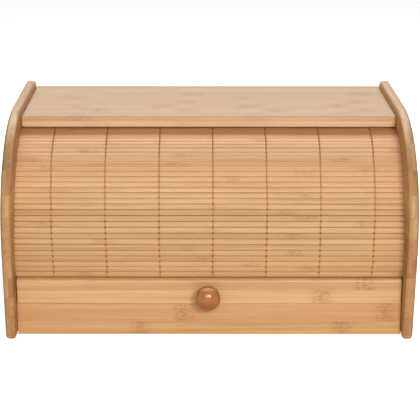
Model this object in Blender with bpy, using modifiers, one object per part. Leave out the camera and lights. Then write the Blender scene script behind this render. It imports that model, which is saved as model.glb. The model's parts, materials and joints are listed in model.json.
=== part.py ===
"""A roll-top bread box of bamboo.

Two side panels carry a top board, a floor board, a back panel and a low front board. A curtain of thin
slats on a cloth, a tambour, runs in a round track that is routed into both side panels. Its lowest piece
is a lift rail with a turned knob.

Lengths are in metres. X runs along the box, Y from front to back and Z up. The origin is on the table,
under the middle of the box.
"""

from math import acos, asin, atan2, ceil, cos, degrees, pi, radians, sin, sqrt, tan

import bmesh
import bpy
from mathutils import Matrix, Vector

# The box, outside
box_length = 0.400
box_depth = 0.268
box_height = 0.210

# Fits: the gap between pieces that touch, and how far a cutter runs past what it cuts
seat_gap = 0.0003
cut_overrun = 0.002

# Side panels, whose front edge leans out to a belly and then curves back to a flat top
panel_thickness = 0.010
panel_edge_round = 0.003
panel_foot_setback = 0.0122
panel_foot_round = 0.0045
panel_belly_height = 0.110
panel_belly_ease = 0.020
panel_shoulder_run = 0.124
panel_back_round = 0.012

# Top board, sunk between the side panels
top_board_thickness = 0.011
top_board_drop = 0.0085
top_board_setback = 0.117
top_board_back_inset = 0.0008
top_board_edge_round = 0.0025

# Front board, which the lift rail closes on, flush with it in front
front_board_thickness = 0.011
front_board_top = 0.0323
front_board_lift = 0.0006
front_board_edge_round = 0.0006

# Floor board and back panel
floor_board_thickness = 0.008
floor_board_lift = 0.004
floor_board_edge_round = 0.001
back_panel_thickness = 0.005
back_panel_inset = 0.0065
back_groove_depth = 0.004

# Track in the side panels, for the middle of the slats' thickness
track_radius = 0.1025
track_depth = 0.005
track_side_clearance = 0.0004
track_end_clearance = 0.0007
track_run_out = 0.0025
curtain_setback = 0.026
curtain_top_gap = 0.0017

# Curtain
slat_count = 35
slat_thickness = 0.0032
slat_gap = 0.00035
slat_crown_share = 0.36
slat_edge_bevel = 0.0003
curtain_cover = 0.0256
cloth_thickness = 0.0008
cloth_side_inset = 0.004
cloth_on_rail = 0.0055

# Lift rail: how far its lower front edge stands out from the slats, and how much more upright it is than
# the track there
rail_height = 0.026
rail_thickness = 0.012
rail_foot_proud = 0.0119
rail_upright_deg = 22.7
rail_end_gap = 0.001
rail_edge_round = 0.0005
rail_top_round = 0.0025
rail_stop_gap = 0.0005
tongue_length = 0.014
tongue_root = 0.003
tongue_top_inset = 0.003

# Knob, turned, on the middle of the lift rail
knob_radius = 0.0124
knob_length = 0.024
knob_widest_height = 0.0148
knob_neck_radius = 0.0062
knob_neck_height = 0.0050
knob_foot_radius = 0.0076
knob_rise = 0.0122
knob_side_offset = -0.0015

# Screw that holds the knob from inside
knob_screw_radius = 0.002
knob_screw_grip = 0.013
knob_screw_head_radius = 0.004
knob_screw_head_height = 0.0022
knob_counterbore_depth = 0.003

# Countersunk wood screws through the side panels
screw_radius = 0.00175
screw_length = 0.032
screw_tip_length = 0.004
screw_head_radius = 0.0036
screw_head_height = 0.0022
screw_sink = 0.0004
top_screw_shares = (0.30, 0.80)
floor_screw_shares = (0.20, 0.85)
front_screw_share = 0.5

# Fineness of the curved outlines
shoulder_steps = 20
corner_steps = 3
belly_steps = 4
edge_round_rings = 1
track_step_deg = 4.5
crown_steps = 6
dome_steps = 7
knob_sides = 24
screw_sides = 12
smooth_angle_deg = 35
flat_angle_deg = 0.5
weld_distance = 0.000005

# Places that the case's sizes give
front_y = -box_depth / 2
back_y = box_depth / 2
inner_half = box_length / 2 - panel_thickness
panel_middle_x = inner_half + panel_thickness / 2
board_half = inner_half - seat_gap
top_board_high = box_height - top_board_drop
top_board_low = top_board_high - top_board_thickness
top_board_front = front_y + top_board_setback
top_board_back = back_y - top_board_back_inset
floor_board_high = floor_board_lift + floor_board_thickness
back_panel_back = back_y - back_panel_inset
back_panel_front = back_panel_back - back_panel_thickness

# Track: its centre is the axis that the curtain turns about
slat_inner_radius = track_radius - slat_thickness / 2
slat_outer_radius = track_radius + slat_thickness / 2
axis_y = front_y + curtain_setback + slat_outer_radius
axis_z = top_board_low - curtain_top_gap - slat_outer_radius
slat_reach = track_depth - track_end_clearance
cloth_outer_radius = slat_inner_radius - seat_gap


def track_angle(y, z):
    """How far a point has gone up and over the track from its foremost point, as seen from the axis."""
    return atan2(z - axis_z, axis_y - y)


def radius_of(y, z):
    return sqrt((y - axis_y) ** 2 + (z - axis_z) ** 2)


def on_track(radius, angle):
    """The place beside the axis, as (y, z) from it, at this radius and track angle."""
    return (-radius * cos(angle), radius * sin(angle))


# Lift rail, closed: its flat underside lies on the front board
rail_foot_z = front_board_top + seat_gap
rail_foot_radius = slat_outer_radius + rail_foot_proud
rail_foot_angle = asin((rail_foot_z - axis_z) / rail_foot_radius)
rail_foot = Vector((axis_y - rail_foot_radius * cos(rail_foot_angle), rail_foot_z))
rail_lean = -rail_foot_angle - radians(rail_upright_deg)
rail_up = Vector((-sin(rail_lean), cos(rail_lean)))
rail_inward = Vector((cos(rail_lean), sin(rail_lean)))
rail_half = inner_half - rail_end_gap
rail_brow = rail_foot + rail_up * rail_height
rail_brow_radius = radius_of(*rail_brow)
rail_heel = rail_foot + Vector((rail_thickness / cos(rail_lean), 0))

# The front board is flush with the closed rail
front_board_front = rail_foot.x
front_board_back = front_board_front + front_board_thickness

# The rail's top edge, where the outer radius of the slats meets it
brow_offset = rail_brow - Vector((axis_y, axis_z))
brow_along = brow_offset.dot(rail_inward)
brow_to_slats = -brow_along - sqrt(brow_along**2 - rail_brow_radius**2 + slat_outer_radius**2)
rail_top_angle = track_angle(*(rail_brow + rail_inward * brow_to_slats))

# Angles along the track
first_slat_angle = rail_top_angle + slat_gap / track_radius
tail_angle = acos((axis_y - top_board_front - curtain_cover) / track_radius)
slat_step = (tail_angle - first_slat_angle) / slat_count
slat_width = slat_inner_radius * slat_step - slat_gap
stop_reach = axis_y - top_board_front + rail_stop_gap
open_angle = acos(stop_reach / rail_brow_radius) - track_angle(*rail_brow)
tongue_high = rail_top_angle - tongue_top_inset / track_radius
tongue_low = tongue_high - tongue_length / track_radius
track_low = tongue_low - track_run_out / track_radius
track_high = tail_angle + open_angle + track_run_out / track_radius
cloth_low = rail_top_angle - cloth_on_rail / track_radius

# A drawn section has its outline in (y, z), so the curve's own axes turn to the box's Y, Z and X
SECTION_TO_BOX = Matrix(((0, 0, 1, 0), (1, 0, 0, 0), (0, 1, 0, 0), (0, 0, 0, 1)))


def clear_scene():
    for old in list(bpy.data.objects):
        bpy.data.objects.remove(old)


def new_collection(name):
    made = bpy.data.collections.new(name)
    bpy.context.scene.collection.children.link(made)
    return made


def new_material(name, colour, roughness, metallic=0.0):
    made = bpy.data.materials.new(name)
    made.use_nodes = True
    shader = made.node_tree.nodes["Principled BSDF"]
    shader.inputs["Base Color"].default_value = (*colour, 1.0)
    shader.inputs["Roughness"].default_value = roughness
    shader.inputs["Metallic"].default_value = metallic
    made.diffuse_color = (*colour, 1.0)
    return made


def mesh_from(source):
    """The evaluated shape of a drawn or turned object as one closed mesh, in place of the object."""
    bpy.context.scene.collection.objects.link(source)
    graph = bpy.context.evaluated_depsgraph_get()
    mesh = bpy.data.meshes.new_from_object(source.evaluated_get(graph))
    mesh.name = source.name
    bpy.data.objects.remove(source)
    shape = bmesh.new()
    shape.from_mesh(mesh)
    bmesh.ops.remove_doubles(shape, verts=shape.verts, dist=weld_distance)
    bmesh.ops.dissolve_limit(shape, angle_limit=radians(flat_angle_deg), verts=shape.verts, edges=shape.edges)
    bmesh.ops.recalc_face_normals(shape, faces=shape.faces)
    shape.to_mesh(mesh)
    shape.free()
    mesh.shade_smooth()
    mesh.set_sharp_from_angle(angle=radians(smooth_angle_deg))
    return mesh


def section_mesh(name, outline, thickness, edge_round=0.0):
    """An outline of (y, z) points drawn out along X, half of the thickness each way, with rounded rims."""
    curve = bpy.data.curves.new(name, "CURVE")
    curve.dimensions = "2D"
    curve.fill_mode = "BOTH"
    curve.extrude = thickness / 2 - edge_round
    curve.bevel_depth = edge_round
    curve.bevel_resolution = edge_round_rings
    curve.offset = -edge_round
    spline = curve.splines.new("POLY")
    spline.points.add(len(outline) - 1)
    for point, (y, z) in zip(spline.points, outline):
        point.co = (y, z, 0, 1)
    spline.use_cyclic_u = True
    mesh = mesh_from(bpy.data.objects.new(name, curve))
    mesh.transform(SECTION_TO_BOX)
    return mesh


def turned_mesh(name, profile, sides):
    """A profile of (radius, height) points, from the top down its outer side, turned round Z."""
    line = bpy.data.meshes.new(name)
    steps = [(i, i + 1) for i in range(len(profile) - 1)]
    line.from_pydata([(radius, 0, height) for radius, height in profile], steps, [])
    source = bpy.data.objects.new(name, line)
    turn = source.modifiers.new("turn", "SCREW")
    turn.steps = turn.render_steps = sides
    turn.use_merge_vertices = True
    turn.merge_threshold = weld_distance
    return mesh_from(source)


def place(name, mesh, collection, material=None, matrix=None, parent=None):
    """A named object for a mesh, in its collection, at its place in the box or under its parent."""
    piece = bpy.data.objects.new(name, mesh)
    collection.objects.link(piece)
    piece.parent = parent
    if matrix is not None:
        piece.matrix_local = matrix
    if material is not None and not mesh.materials:
        mesh.materials.append(material)
    return piece


def place_cutter(name, mesh, matrix=None, parent=None):
    cutter = place(name, mesh, cutters, matrix=matrix, parent=parent)
    cutter.hide_render = True
    cutter.display_type = "WIRE"
    return cutter


def combine(piece, operation, *others):
    for other in others:
        change = piece.modifiers.new(other.name, "BOOLEAN")
        change.operation = operation
        change.object = other


def corner_arc(before, corner, after, radius, steps):
    """The corner of an outline, rounded off: points from the line before it to the line after it."""
    before, corner, after = Vector(before), Vector(corner), Vector(after)
    back = (before - corner).normalized()
    ahead = (after - corner).normalized()
    half = back.angle(ahead) / 2
    centre = corner + (back + ahead).normalized() * radius / sin(half)
    start = (corner + back * radius / tan(half) - centre).normalized()
    end = (corner + ahead * radius / tan(half) - centre).normalized()
    return [tuple(centre + start.slerp(end, i / steps) * radius) for i in range(steps + 1)]


def rounded(corners, radii):
    """An outline through these corners, each rounded off by its own radius."""
    outline = []
    for i, radius in enumerate(radii):
        after = corners[(i + 1) % len(corners)]
        outline += corner_arc(corners[i - 1], corners[i], after, radius, corner_steps)
    return outline


def board_outline(front, back, low, high, edge_round):
    corners = [(front, low), (front, high), (back, high), (back, low)]
    return rounded(corners, [edge_round] * len(corners))


def ring_outline(inner_radius, outer_radius, low_angle, high_angle, steps):
    """Part of a ring round the axis, as (y, z) points from it."""
    angles = [low_angle + (high_angle - low_angle) * i / steps for i in range(steps + 1)]
    inner = [on_track(inner_radius, angle) for angle in angles]
    outer = [on_track(outer_radius, angle) for angle in reversed(angles)]
    return inner + outer


def panel_outline():
    """From the foot up the leaning front edge, over belly and shoulder, along the top and down the back."""
    foot = (front_y + panel_foot_setback, 0)
    belly_corner = (front_y, panel_belly_height - panel_belly_ease)
    belly_top = (front_y, panel_belly_height)
    lean = atan2(panel_foot_setback, belly_corner[1])
    belly_radius = panel_belly_ease / tan(lean / 2)
    shoulder_rise = box_height - panel_belly_height
    shoulder_centre = front_y + panel_shoulder_run
    top_back = (back_y, box_height)
    heel = (back_y, 0)
    outline = corner_arc(heel, foot, belly_corner, panel_foot_round, corner_steps)
    outline += corner_arc(foot, belly_corner, belly_top, belly_radius, belly_steps)
    for i in range(1, shoulder_steps + 1):
        angle = pi / 2 * i / shoulder_steps
        outline.append(
            (
                shoulder_centre - panel_shoulder_run * cos(angle),
                panel_belly_height + shoulder_rise * sin(angle),
            )
        )
    outline += corner_arc(outline[-1], top_back, heel, panel_back_round, corner_steps)
    outline += corner_arc(top_back, heel, foot, panel_foot_round, corner_steps)
    return outline


def screw_profile(margin, overrun):
    """A countersunk screw, head up, or with a margin and an overrun the hole that takes it."""
    neck = -screw_sink - screw_head_height
    tip = -screw_length
    return [
        (0, overrun - screw_sink),
        (screw_head_radius + margin, overrun - screw_sink),
        (screw_head_radius + margin, -screw_sink),
        (screw_radius + margin, neck),
        (screw_radius + margin, tip + screw_tip_length),
        (0, tip - margin),
    ]


def screw_places():
    """Each board's screws, as (name, y, z)."""
    top_depth = top_board_back - top_board_front
    floor_depth = back_y - front_board_back
    top_z = top_board_low + top_board_thickness / 2
    floor_z = floor_board_lift + floor_board_thickness / 2
    front_middle = (front_board_front + front_board_back) / 2
    places = [("front", front_middle, front_board_top * front_screw_share)]
    for i, share in enumerate(top_screw_shares, 1):
        places.append((f"top_{i}", top_board_front + top_depth * share, top_z))
    for i, share in enumerate(floor_screw_shares, 1):
        places.append((f"floor_{i}", front_board_back + floor_depth * share, floor_z))
    return places


def add_screws():
    """The wood screws on both sides, and the hole cutters that the side panels and boards share."""
    steel = new_material("zinc_plated_steel", (0.62, 0.62, 0.60), 0.35, 1.0)
    screw = turned_mesh("wood_screw", screw_profile(0, 0), screw_sides)
    hole = turned_mesh("screw_hole", screw_profile(seat_gap, screw_sink + cut_overrun), screw_sides)
    holes = {"left": [], "right": []}
    for side, outward in (("left", -1), ("right", 1)):
        for name, y, z in screw_places():
            turn = Matrix.Rotation(outward * pi / 2, 4, "Y")
            spot = Matrix.Translation((outward * box_length / 2, y, z)) @ turn
            place(f"screw_{side}_{name}", screw, parts, steel, spot)
            holes[side].append(place_cutter(f"hole_{side}_{name}", hole, spot))
    return holes


def holes_for(board, holes):
    return [hole for side in holes.values() for hole in side if f"_{board}" in hole.name]


def add_side_panels(holes):
    panel_wood = new_material("bamboo_edge_grain", (0.62, 0.37, 0.17), 0.5)
    panel = section_mesh("side_panel", panel_outline(), panel_thickness, panel_edge_round)
    steps = ceil(degrees(track_high - track_low) / track_step_deg)
    groove_half = slat_thickness / 2 + track_side_clearance
    groove_width = track_depth + cut_overrun
    track_outline = ring_outline(
        track_radius - groove_half, track_radius + groove_half, track_low, track_high, steps
    )
    track = section_mesh("track", track_outline, groove_width)
    slot_outline = [
        (back_panel_front - seat_gap, floor_board_high),
        (back_panel_front - seat_gap, top_board_low),
        (back_panel_back + seat_gap, top_board_low),
        (back_panel_back + seat_gap, floor_board_high),
    ]
    slot_width = back_groove_depth + cut_overrun
    slot = section_mesh("back_slot", slot_outline, slot_width)
    for side, outward in (("left", -1), ("right", 1)):
        spot = Matrix.Translation((outward * panel_middle_x, 0, 0))
        board = place(f"side_panel_{side}", panel, parts, panel_wood, spot)
        track_x = outward * (inner_half + track_depth - groove_width / 2)
        slot_x = outward * (inner_half + back_groove_depth - slot_width / 2)
        track_cutter = place_cutter(f"track_{side}", track, Matrix.Translation((track_x, axis_y, axis_z)))
        slot_cutter = place_cutter(f"back_slot_{side}", slot, Matrix.Translation((slot_x, 0, 0)))
        combine(board, "DIFFERENCE", *holes[side], track_cutter, slot_cutter)


def add_boards(holes):
    board_wood = new_material("bamboo_board", (0.66, 0.40, 0.19), 0.45)
    sheet_wood = new_material("bamboo_sheet", (0.60, 0.38, 0.20), 0.55)
    outlines = {
        "top_board": board_outline(
            top_board_front, top_board_back, top_board_low, top_board_high, top_board_edge_round
        ),
        "front_board": board_outline(
            front_board_front, front_board_back, front_board_lift, front_board_top, front_board_edge_round
        ),
        "floor_board": board_outline(
            front_board_back + seat_gap,
            back_y - top_board_back_inset,
            floor_board_lift,
            floor_board_high,
            floor_board_edge_round,
        ),
    }
    for name, outline in outlines.items():
        board = place(name, section_mesh(name, outline, 2 * board_half), parts, board_wood)
        combine(board, "DIFFERENCE", *holes_for(name.split("_")[0], holes))
    back_outline = [
        (back_panel_front, floor_board_high + seat_gap),
        (back_panel_front, top_board_low - seat_gap),
        (back_panel_back, top_board_low - seat_gap),
        (back_panel_back, floor_board_high + seat_gap),
    ]
    back_half = inner_half + back_groove_depth - seat_gap
    place("back_panel", section_mesh("back_panel", back_outline, 2 * back_half), parts, sheet_wood)


def slat_outline():
    """A slat at the foremost point of the track: flat behind, crowned in front, with its back edges eased."""
    half = slat_width / 2
    crown = slat_thickness * slat_crown_share
    crown_radius = (half**2 + crown**2) / (2 * crown)
    crown_centre = slat_outer_radius - crown_radius
    sweep = asin(half / crown_radius)
    outline = [
        (-slat_inner_radius, half - slat_edge_bevel),
        (-slat_inner_radius, slat_edge_bevel - half),
        (-slat_inner_radius - slat_edge_bevel, -half),
    ]
    for i in range(crown_steps + 1):
        angle = -sweep + 2 * sweep * i / crown_steps
        outline.append((-crown_centre - crown_radius * cos(angle), crown_radius * sin(angle)))
    outline.append((-slat_inner_radius - slat_edge_bevel, half))
    return outline


def add_curtain(axis):
    """The slats, all from one mesh turned about the axis, and the cloth that they are glued to."""
    slat_wood = new_material("bamboo_slat", (0.72, 0.45, 0.24), 0.45)
    canvas = new_material("backing_cloth", (0.75, 0.70, 0.58), 0.95)
    slat = section_mesh("slat", slat_outline(), 2 * (inner_half + slat_reach))
    for i in range(slat_count):
        angle = first_slat_angle + slat_step * (i + 1 / 2)
        place(f"slat_{i + 1:02d}", slat, parts, slat_wood, Matrix.Rotation(-angle, 4, "X"), axis)
    cloth_inner_radius = cloth_outer_radius - cloth_thickness
    cloth = ring_outline(cloth_inner_radius, cloth_outer_radius, cloth_low, tail_angle, slat_count)
    cloth_width = 2 * (inner_half - cloth_side_inset)
    place("backing_cloth", section_mesh("backing_cloth", cloth, cloth_width), parts, canvas, parent=axis)


def knob_profile():
    """From the top of the dome down to the foot, and up into the blind hole for the screw."""
    bore = knob_screw_radius + seat_gap
    dome = knob_length - knob_widest_height
    under = knob_widest_height - knob_neck_height
    flare = knob_foot_radius - knob_neck_radius
    profile = []
    for i in range(dome_steps + 1):
        angle = pi / 2 * i / dome_steps
        profile.append((knob_radius * sin(angle), knob_widest_height + dome * cos(angle)))
    for i in range(1, dome_steps + 1):
        angle = pi / 2 * i / dome_steps
        waist = (knob_radius - knob_neck_radius) * cos(angle)
        profile.append((knob_neck_radius + waist, knob_widest_height - under * sin(angle)))
    for i in range(1, corner_steps + 1):
        angle = pi / 2 * i / corner_steps
        profile.append((knob_foot_radius - flare * cos(angle), knob_neck_height * (1 - sin(angle))))
    profile += [(bore, 0), (bore, knob_screw_grip + seat_gap), (0, knob_screw_grip + seat_gap)]
    return profile


def knob_screw_profile(margin, overrun):
    """The screw from its head, which lies against the counterbore's floor, or the hole that takes it."""
    shank = rail_thickness - knob_counterbore_depth + knob_screw_grip
    return [
        (0, knob_screw_head_height + overrun),
        (knob_screw_head_radius + margin, knob_screw_head_height + overrun),
        (knob_screw_head_radius + margin, seat_gap - margin),
        (knob_screw_radius + margin, seat_gap - margin),
        (knob_screw_radius + margin, -shank),
        (0, -shank),
    ]


def add_rail(axis):
    """The lift rail with a tongue at each end, its back scooped out to take the edge of the cloth."""
    rail_wood = new_material("bamboo_rail", (0.68, 0.42, 0.20), 0.42)
    to_axis = Vector((axis_y, axis_z))
    corners = [rail_foot, rail_brow, rail_brow + rail_inward * rail_thickness, rail_heel]
    radii = [rail_edge_round, rail_top_round, rail_edge_round, rail_edge_round]
    outline = rounded([tuple(corner - to_axis) for corner in corners], radii)
    body = section_mesh("lift_rail", outline, 2 * rail_half)
    rail = place("lift_rail", body, parts, rail_wood, parent=axis)

    tongue_low_x = rail_half - tongue_root
    tongue_high_x = inner_half + slat_reach
    steps = ceil(degrees(tongue_high - tongue_low) / track_step_deg)
    tongue_outline = ring_outline(slat_inner_radius, slat_outer_radius, tongue_low, tongue_high, steps)
    tongue = section_mesh("tongue", tongue_outline, tongue_high_x - tongue_low_x)
    tongue_x = (tongue_low_x + tongue_high_x) / 2
    for side, outward in (("left", -1), ("right", 1)):
        spot = Matrix.Translation((outward * tongue_x, 0, 0))
        combine(rail, "UNION", place_cutter(f"tongue_{side}", tongue, spot, axis))

    scoop_radius = cloth_outer_radius + seat_gap
    scoop_low = track_angle(*rail_heel)
    scoop_high = first_slat_angle + slat_step
    scoop_steps = ceil(degrees(scoop_high - scoop_low) / track_step_deg)
    scoop_outline = ring_outline(
        scoop_radius - rail_thickness, scoop_radius, scoop_low, scoop_high, scoop_steps
    )
    scoop = section_mesh("cloth_scoop", scoop_outline, box_length)

    knob_base = rail_foot + rail_up * knob_rise - to_axis
    out_turn = Matrix.Rotation(pi / 2 + rail_lean, 4, "X")
    knob_spot = Matrix.Translation((knob_side_offset, knob_base.x, knob_base.y)) @ out_turn
    screw_spot = knob_spot @ Matrix.Translation((0, 0, knob_counterbore_depth - rail_thickness))
    screw_spot = screw_spot @ Matrix.Rotation(pi, 4, "X")
    hole = turned_mesh("knob_screw_hole", knob_screw_profile(seat_gap, cut_overrun), screw_sides)
    hole_cutter = place_cutter("knob_screw_hole", hole, screw_spot, axis)
    combine(rail, "DIFFERENCE", place_cutter("cloth_scoop", scoop, parent=axis), hole_cutter)
    return knob_spot, screw_spot


def add_knob(axis, knob_spot, screw_spot):
    knob_wood = new_material("brown_knob", (0.43, 0.16, 0.05), 0.25)
    steel = new_material("knob_screw_steel", (0.62, 0.62, 0.60), 0.35, 1.0)
    seat = Matrix.Translation((0, 0, seat_gap))
    place("knob", turned_mesh("knob", knob_profile(), knob_sides), parts, knob_wood, knob_spot @ seat, axis)
    screw = turned_mesh("knob_screw", knob_screw_profile(0, 0), screw_sides)
    place("knob_screw", screw, parts, steel, screw_spot, axis)


clear_scene()
parts = new_collection("roll_top_bread_box")
cutters = new_collection("cutters")
curtain_axis = bpy.data.objects.new("curtain_axis", None)
curtain_axis.location = (0, axis_y, axis_z)
parts.objects.link(curtain_axis)

screw_holes = add_screws()
add_side_panels(screw_holes)
add_boards(screw_holes)
add_curtain(curtain_axis)
knob_place, knob_screw_place = add_rail(curtain_axis)
add_knob(curtain_axis, knob_place, knob_screw_place)
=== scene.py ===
# %% [markdown]
# A bamboo bread box with a roll-top. The CAD model is the fixed frame: it holds the boards, the curtain of
# slats and their motion. This lesson gives them their finish. It remakes the pieces that show fine detail,
# such as the slats, their stitches, the cloth, the knob and the screws. The other boards are copies of the
# CAD's, with their faces joined.

# %% Load the frame
import json
import random
from math import asin, atan2, cos, degrees, pi, radians, sin

import bmesh
import bpy
from mathutils import Matrix, Vector


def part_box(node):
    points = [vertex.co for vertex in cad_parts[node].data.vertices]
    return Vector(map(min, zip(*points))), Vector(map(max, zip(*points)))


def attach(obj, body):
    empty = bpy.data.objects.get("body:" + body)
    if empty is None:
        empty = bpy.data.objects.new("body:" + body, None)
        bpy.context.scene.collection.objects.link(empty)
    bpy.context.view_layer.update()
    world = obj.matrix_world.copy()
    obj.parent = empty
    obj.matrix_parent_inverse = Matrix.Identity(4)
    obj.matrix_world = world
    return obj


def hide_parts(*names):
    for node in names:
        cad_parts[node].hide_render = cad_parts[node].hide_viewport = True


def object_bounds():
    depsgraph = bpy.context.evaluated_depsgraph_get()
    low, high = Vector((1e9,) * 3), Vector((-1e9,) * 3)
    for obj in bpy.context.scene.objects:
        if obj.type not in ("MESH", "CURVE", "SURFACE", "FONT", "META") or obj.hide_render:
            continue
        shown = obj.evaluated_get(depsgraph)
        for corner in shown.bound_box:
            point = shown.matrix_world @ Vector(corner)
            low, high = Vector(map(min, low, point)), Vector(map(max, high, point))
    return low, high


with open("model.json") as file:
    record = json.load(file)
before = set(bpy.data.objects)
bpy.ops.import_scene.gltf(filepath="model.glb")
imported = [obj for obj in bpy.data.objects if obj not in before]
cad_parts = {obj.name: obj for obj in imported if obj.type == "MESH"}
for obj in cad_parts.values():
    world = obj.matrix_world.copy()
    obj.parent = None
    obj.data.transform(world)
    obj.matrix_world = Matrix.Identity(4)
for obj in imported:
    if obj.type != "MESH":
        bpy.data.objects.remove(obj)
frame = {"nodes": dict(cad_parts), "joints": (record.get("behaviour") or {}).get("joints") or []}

cad_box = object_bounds()
nodes = frame["nodes"]
joint = frame["joints"][0]
axis = Vector(joint["pos_m"])
box_size = cad_box[1] - cad_box[0]
print("box in mm:", [round(side * 1000, 1) for side in box_size], "axis:", axis)

# %% [markdown]
# The photograph was taken from a metre and a half away with a long lens, a little above the box. The camera
# has that place and angle here. Its small sideways shift is the photograph's own framing.

# %% Camera
CAMERA_PLACE = (-0.0135, -1.4532, 0.5287)
CAMERA_DOWN_DEG = 16.54
CAMERA_TURN_DEG = 0.11
LENS_MM = 124.3
SENSOR_MM = 36.0
FRAMING_SHIFT = 0.041

camera_data = bpy.data.cameras.new("camera")
camera_data.lens = LENS_MM
camera_data.sensor_width = SENSOR_MM
camera_data.shift_x = FRAMING_SHIFT
camera = bpy.data.objects.new("camera", camera_data)
camera.location = CAMERA_PLACE
camera.rotation_euler = (radians(90 - CAMERA_DOWN_DEG), 0, radians(CAMERA_TURN_DEG))
bpy.context.scene.collection.objects.link(camera)
bpy.context.scene.camera = camera
bpy.context.scene.view_settings.view_transform = "Standard"
print("camera is", round((camera.location - axis).length, 3), "m from the box")

# %% [markdown]
# A material is a small network of nodes. These helpers keep the networks short to write: each makes one
# or a few, wires the inputs from other nodes or sets them to plain numbers, and hands back the output.

# %% Node helpers
def feed(tree, value, socket):
    if isinstance(value, bpy.types.NodeSocket):
        tree.links.new(value, socket)
    else:
        socket.default_value = value


def add_node(tree, kind, inputs=None, **settings):
    made = tree.nodes.new(kind)
    for name, value in settings.items():
        setattr(made, name, value)
    for name, value in (inputs or {}).items():
        feed(tree, value, made.inputs[name])
    return made


def calc(tree, operation, *values):
    made = add_node(tree, "ShaderNodeMath", operation=operation)
    for socket, value in zip(made.inputs, values):
        feed(tree, value, socket)
    return made.outputs[0]


def calc_vector(tree, operation, *values):
    made = add_node(tree, "ShaderNodeVectorMath", operation=operation)
    for socket, value in zip(made.inputs, values):
        feed(tree, value, socket)
    return made.outputs[0]


def hypotenuse(tree, first, second):
    """The longest side of a right-angled triangle, from its other two sides."""
    squares = [calc(tree, "MULTIPLY", side, side) for side in (first, second)]
    return calc(tree, "SQRT", calc(tree, "ADD", *squares))


def combine(tree, x, y, z):
    return add_node(tree, "ShaderNodeCombineXYZ", {"X": x, "Y": y, "Z": z}).outputs[0]


def separate(tree, vector):
    return add_node(tree, "ShaderNodeSeparateXYZ", {"Vector": vector}).outputs


def object_place(tree):
    """The place on the piece, in metres, which moves with the piece."""
    return add_node(tree, "ShaderNodeTexCoord").outputs["Object"]


def object_normal(tree):
    """The surface's own direction, split into X, Y and Z."""
    return separate(tree, add_node(tree, "ShaderNodeTexCoord").outputs["Normal"])


def noise(tree, place, per_metre, detail=2.0, roughness=0.5):
    """Noise from 0 to 1, with this many blots per metre along each of the place's three directions."""
    spread = calc_vector(tree, "MULTIPLY", place, per_metre)
    inputs = {"Vector": spread, "Scale": 1.0, "Detail": detail, "Roughness": roughness}
    return add_node(tree, "ShaderNodeTexNoise", inputs).outputs[0]


def fade(tree, value, start, end, low=0.0, high=1.0):
    """Goes smoothly from low to high while the value goes from start to end."""
    inputs = {"Value": value, "From Min": start, "From Max": end, "To Min": low, "To Max": high}
    made = add_node(tree, "ShaderNodeMapRange", inputs, interpolation_type="SMOOTHSTEP")
    return made.outputs["Result"]


def blend_colour(tree, share, first, second, how="MIX"):
    made = add_node(tree, "ShaderNodeMix", data_type="RGBA", blend_type=how)
    feed(tree, share, made.inputs[0])
    feed(tree, first, made.inputs[6])
    feed(tree, second, made.inputs[7])
    return made.outputs[2]


def swatch(red, green, blue):
    """A colour read off a colour chart, 0 to 255, as the linear values that the shader wants."""
    shares = [channel / 255 for channel in (red, green, blue)]
    linear = [share / 12.92 if share <= 0.04045 else ((share + 0.055) / 1.055) ** 2.4 for share in shares]
    return (*linear, 1.0)


print("node helpers are ready")

# %% [markdown]
# Bamboo boards are glued up from split strips, about 20 mm wide, in two or more layers. Each strip has its
# own tone, long fine fibres, short dark bundles, and now and then the ring where a joint of the cane was. A
# photograph of bamboo could serve, but noise never repeats. Noise with few blots per metre along the fibres
# and many across them makes the long thin marks.

# %% What a bamboo strip shows
# Blots per metre along, across and through the fibres
FIBRES = (7.0, 620.0, 620.0)
STREAKS = (4.0, 170.0, 170.0)
BUNDLES = (42.0, 1300.0, 1300.0)
CLOUDS = (11.0, 30.0, 30.0)
RING_BENDS = (60.0, 240.0, 240.0)
RING_STROKES = (230.0, 560.0, 560.0)
# Widths in metres
RING_WANDER = 0.012
RING_LINE = (0.0004, 0.0018)
RING_CORE = 0.002
GLUE_LINE = 0.00025
# How much each thing counts for in the colour
STREAK_SHARE = 1.10
FIBRE_SHARE = 0.80
LIGHT_TO_DARK = (0.50, 1.40)
BLUSH_SHARE = 0.6
BUNDLE_SHARE = 0.16
RING_SHARE = 0.6
GLUE_SHARE = 0.35
BUNDLE_COLOUR = swatch(150, 98, 58)
RING_COLOUR = swatch(168, 104, 56)
GLUE_COLOUR = swatch(168, 116, 72)
END_GRAIN_TINT = swatch(229, 218, 205)
fibre_length, fibre_spacing = (round(1000 / per_metre, 1) for per_metre in FIBRES[:2])
print("fibre marks are about", fibre_spacing, "mm apart and", fibre_length, "mm long")

# %% [markdown]
# One group of nodes holds all of this. It works in the grain's own directions: X along the fibres, Y across
# the strips and Z through the layers. So one group serves every board, whichever way its grain runs, and
# end grain shows its dots without extra work. Ring variety makes some of a board's rings faint, as on the
# top board. Every board could have nodes of its own, but then a change to one would miss the others.

# %% Bamboo node group
def new_group(name, inputs, outputs):
    tree = bpy.data.node_groups.new(name, "ShaderNodeTree")
    for label, kind, value in inputs:
        socket = tree.interface.new_socket(label, in_out="INPUT", socket_type="NodeSocket" + kind)
        if value is not None:
            socket.default_value = value
    for label, kind in outputs:
        tree.interface.new_socket(label, in_out="OUTPUT", socket_type="NodeSocket" + kind)
    return tree, tree.nodes.new("NodeGroupInput").outputs, tree.nodes.new("NodeGroupOutput").inputs


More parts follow.
